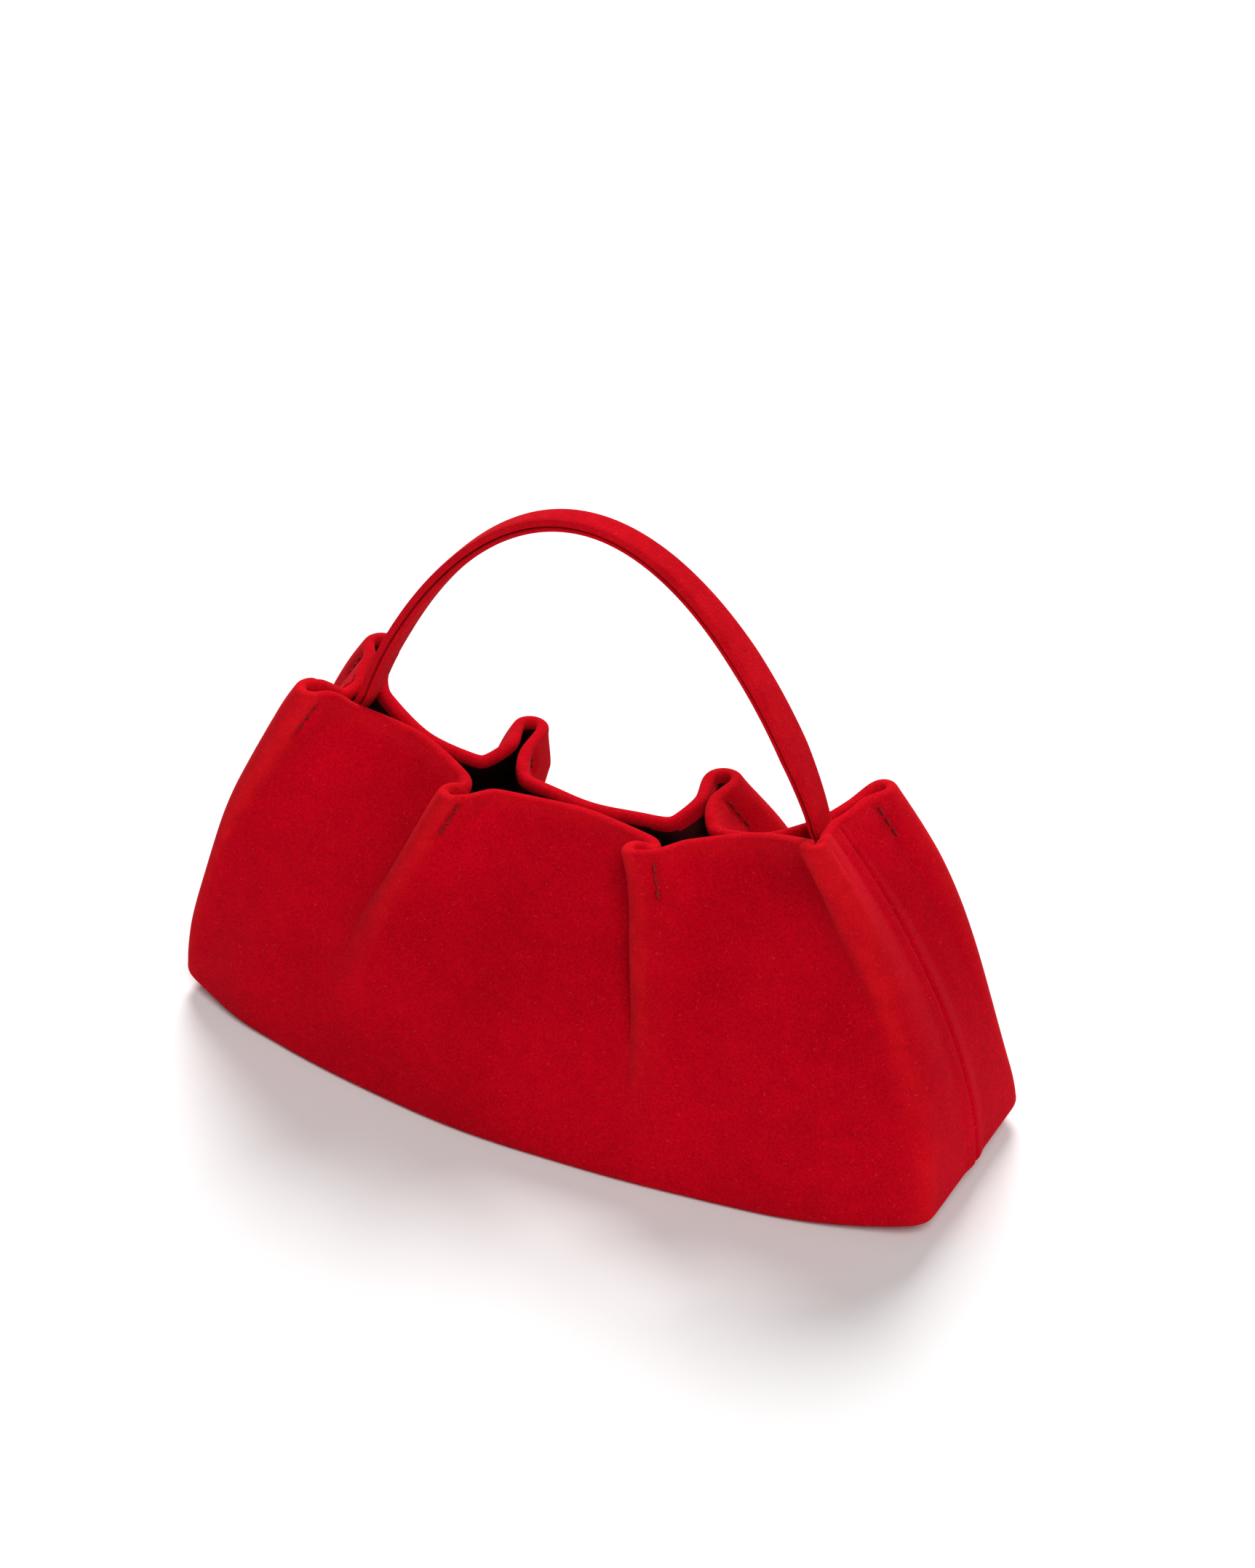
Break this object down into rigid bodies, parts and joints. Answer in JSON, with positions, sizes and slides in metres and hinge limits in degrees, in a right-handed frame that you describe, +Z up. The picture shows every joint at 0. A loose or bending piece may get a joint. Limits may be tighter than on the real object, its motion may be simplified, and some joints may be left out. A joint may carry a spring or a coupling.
{
  "type": "ruched top-handle bag",
  "caption": "Small suede handbag with an oval base, long walls pinched into tacked fins at a scalloped open mouth, and one arched top handle.",
  "frame": {"origin": "under the middle of the base, on the surface that the bag stands on", "axes": "+X along the bag towards the end seam at its right as seen from the front, +Y from the front wall to the back wall, +Z up"},
  "size_m": [0.284, 0.1202, 0.2048],
  "materials": {
    "suede": "matte napped suede, saturated red",
    "lining": "matte dark red twill",
    "magnet": "plain steel, hidden in the hem",
    "thread": "waxed thread, dark red",
    "board": "pressed fibre board",
    "core": "bonded webbing"
  },
  "bodies": {
    "base": {"base_panel": "suede", "base_board": "board", "base_lining": "lining", "seam_tape_left": "lining", "seam_tape_right": "lining", "handle_anchor_left": "suede", "handle_anchor_right": "suede"},
    "front_wall": {"front_shell": "suede", "front_facing": "lining", "front_lining": "lining", "front_magnet": "magnet", "front_tack_1": "thread", "front_tack_2": "thread", "front_tack_3": "thread", "front_tack_4": "thread"},
    "back_wall": {"back_shell": "suede", "back_facing": "lining", "back_lining": "lining", "back_magnet": "magnet", "back_tack_1": "thread", "back_tack_2": "thread", "back_tack_3": "thread", "back_tack_4": "thread"},
    "handle": {"handle_cover": "suede", "handle_core": "core", "handle_underlay": "suede"}
  },
  "joints": [
    {"name": "handle_tilt", "type": "hinge", "parent": "base", "child": "handle", "pos_m": [0, 0, 0.122], "axis": [1, 0, 0], "range_deg": [-65, 65], "stiffness_Nm_per_rad": 0.02},
    {"name": "front_open", "type": "hinge", "parent": "base", "child": "front_wall", "pos_m": [0, -0.0599, 0.0025], "axis": [1, 0, 0], "range_deg": [0, 10]},
    {"name": "back_open", "type": "hinge", "parent": "base", "child": "back_wall", "pos_m": [0, 0.0599, 0.0025], "axis": [-1, 0, 0], "range_deg": [0, 10]}
  ]
}
